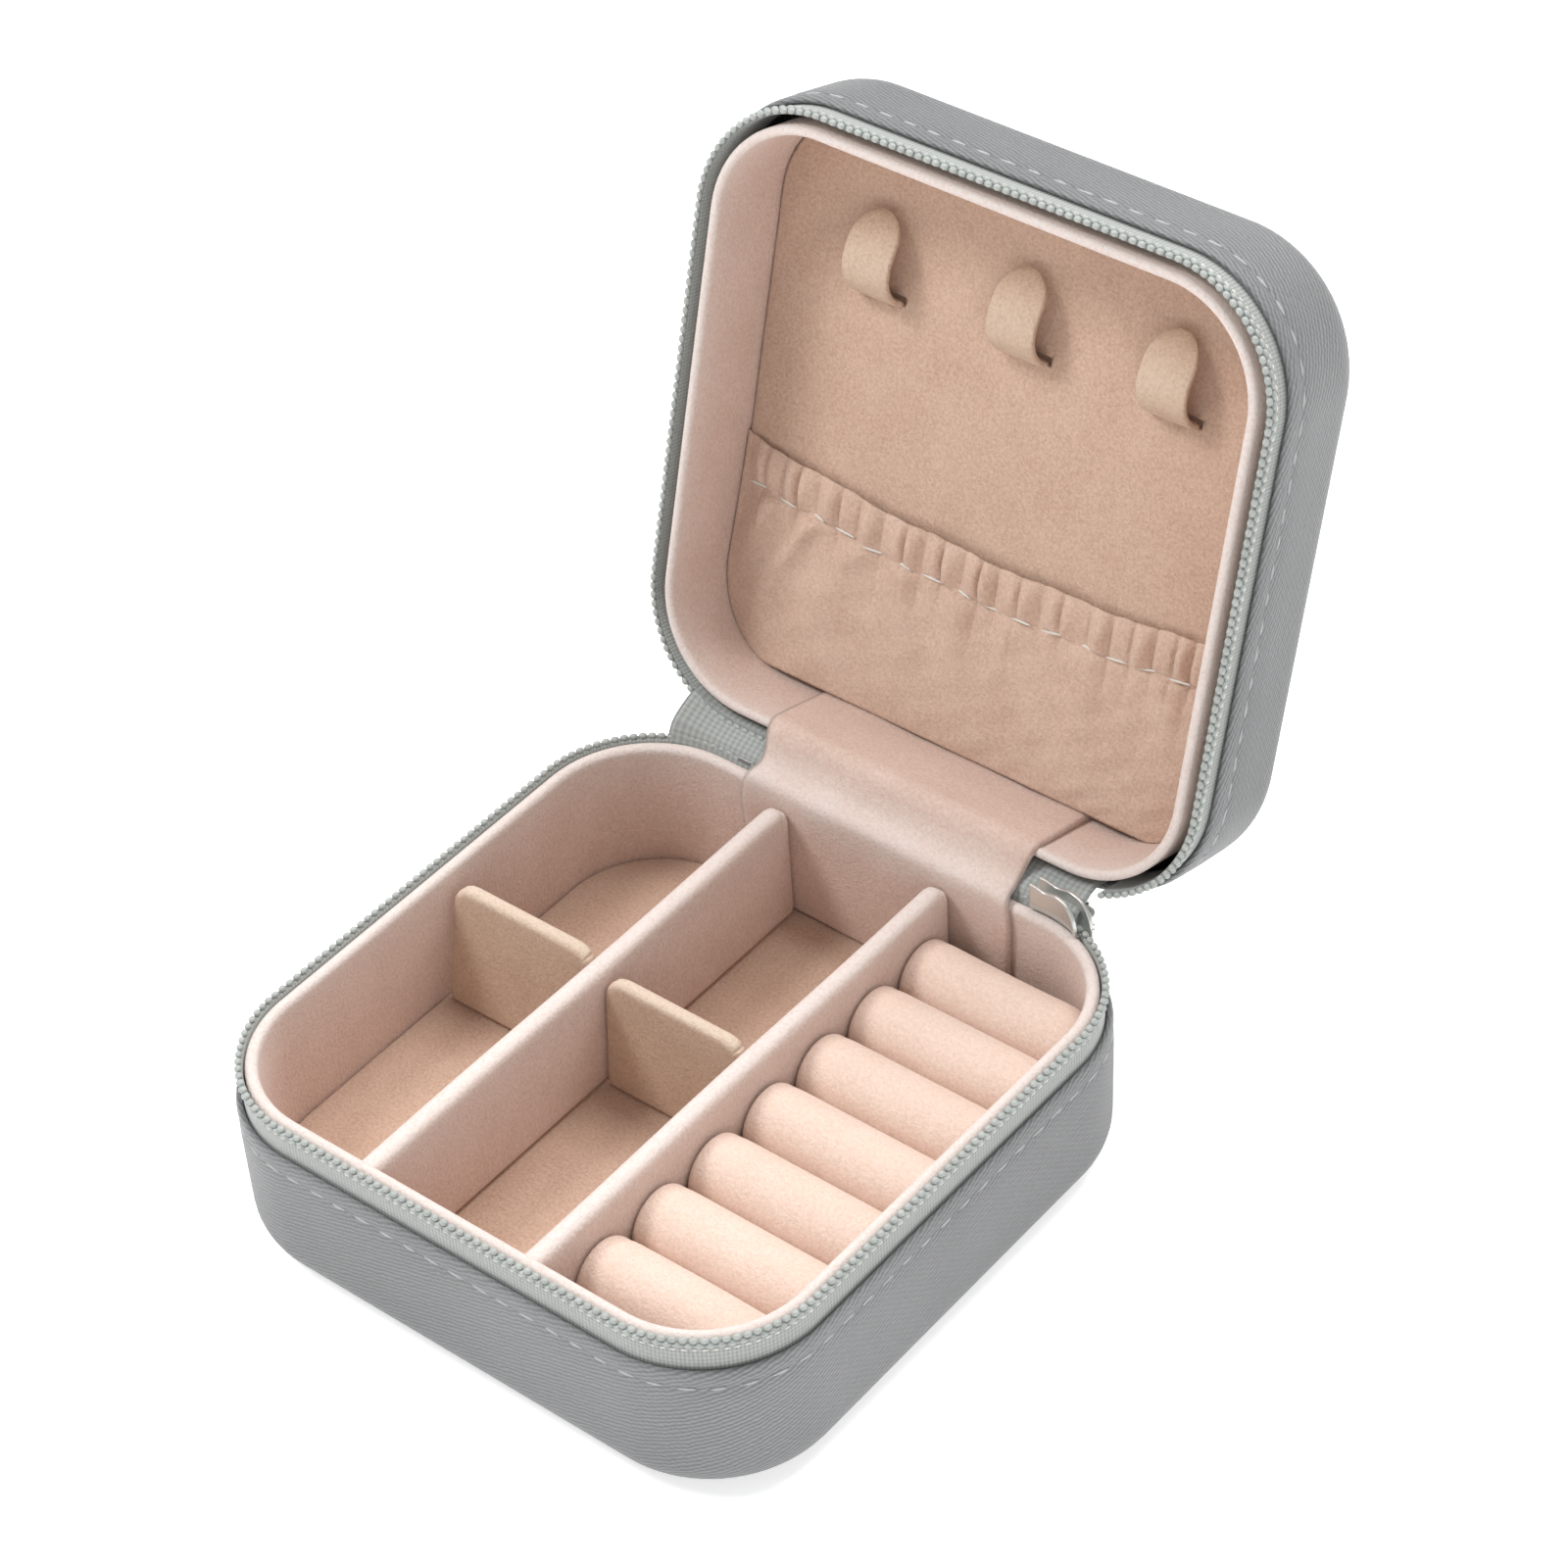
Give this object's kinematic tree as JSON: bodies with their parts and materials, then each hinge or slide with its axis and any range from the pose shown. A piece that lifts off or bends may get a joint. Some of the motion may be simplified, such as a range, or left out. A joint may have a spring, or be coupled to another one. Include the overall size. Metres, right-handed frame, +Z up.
{
  "type": "travel jewelry case",
  "caption": "Square zip-round travel jewelry case with a hinged lid: velvet compartments and ring rolls in the base, necklace hooks and a gathered pocket in the lid.",
  "frame": {"origin": "centre of the flat underside of the base, on the table", "axes": "+X along the hinge to the right, +Y from the front to the hinge, +Z up"},
  "size_m": [0.1, 0.149, 0.1273],
  "materials": {
    "outer_leather": "grey imitation leather with a fine cross grain",
    "board": "plain greyboard",
    "foam": "soft foam sheet",
    "pale_velvet": "pale dusty pink short-pile velvet over board",
    "tan_velvet": "camel short-pile velvet",
    "roll_velvet": "light peach velvet over foam",
    "zip_tape": "woven grey-green tape",
    "zip_coil": "nylon coil",
    "elastic": "flat woven elastic",
    "nickel": "satin nickel plate"
  },
  "bodies": {
    "base": {"base_shell": "outer_leather", "base_board": "board", "base_padding": "foam", "base_liner_wall": "pale_velvet", "base_floor_panel": "tan_velvet", "base_zip_tape": "zip_tape", "base_zip_coil": "zip_coil", "zip_end_stop": "nickel", "long_divider_left": "pale_velvet", "long_divider_right": "pale_velvet", "ring_roll_bed": "foam", "ring_roll_1": "roll_velvet", "ring_roll_2": "roll_velvet", "ring_roll_3": "roll_velvet", "ring_roll_4": "roll_velvet", "ring_roll_5": "roll_velvet", "ring_roll_6": "roll_velvet", "ring_roll_7": "roll_velvet", "hinge_flap_base": "pale_velvet", "spine_base": "outer_leather"},
    "lid": {"lid_shell": "outer_leather", "lid_board": "board", "lid_padding": "foam", "lid_panel": "tan_velvet", "lid_liner_wall": "pale_velvet", "lid_zip_tape": "zip_tape", "lid_zip_coil": "zip_coil", "necklace_hook_1": "tan_velvet", "necklace_hook_2": "tan_velvet", "necklace_hook_3": "tan_velvet", "pocket": "tan_velvet", "pocket_elastic": "elastic", "hinge_flap_lid": "pale_velvet", "spine_lid": "outer_leather"},
    "left_divider": {"cross_divider_left": "tan_velvet"},
    "middle_divider": {"cross_divider_middle": "tan_velvet"},
    "slider": {"zip_slider": "nickel"},
    "pull": {"zip_pull": "nickel"}
  },
  "joints": [
    {"name": "lid_hinge", "type": "hinge", "parent": "base", "child": "lid", "pos_m": [0, 0.0505, 0.0313], "axis": [1, 0, 0], "range_deg": [0, 105.8]},
    {"name": "slider_travel", "type": "hinge", "parent": "base", "child": "slider", "pos_m": [0.03, 0.02965, 0.0313], "axis": [0, 0, -1], "range_deg": [0, 60]},
    {"name": "pull_swing", "type": "hinge", "parent": "slider", "child": "pull", "pos_m": [0.03274, 0.05198, 0.0307], "axis": [0.9925, -0.1219, 0], "range_deg": [0, 55]},
    {"name": "left_divider_lift", "type": "slide", "parent": "base", "child": "left_divider", "axis": [0, 0, 1], "range_m": [0, 0.014]},
    {"name": "middle_divider_lift", "type": "slide", "parent": "base", "child": "middle_divider", "axis": [0, 0, 1], "range_m": [0, 0.014]}
  ]
}
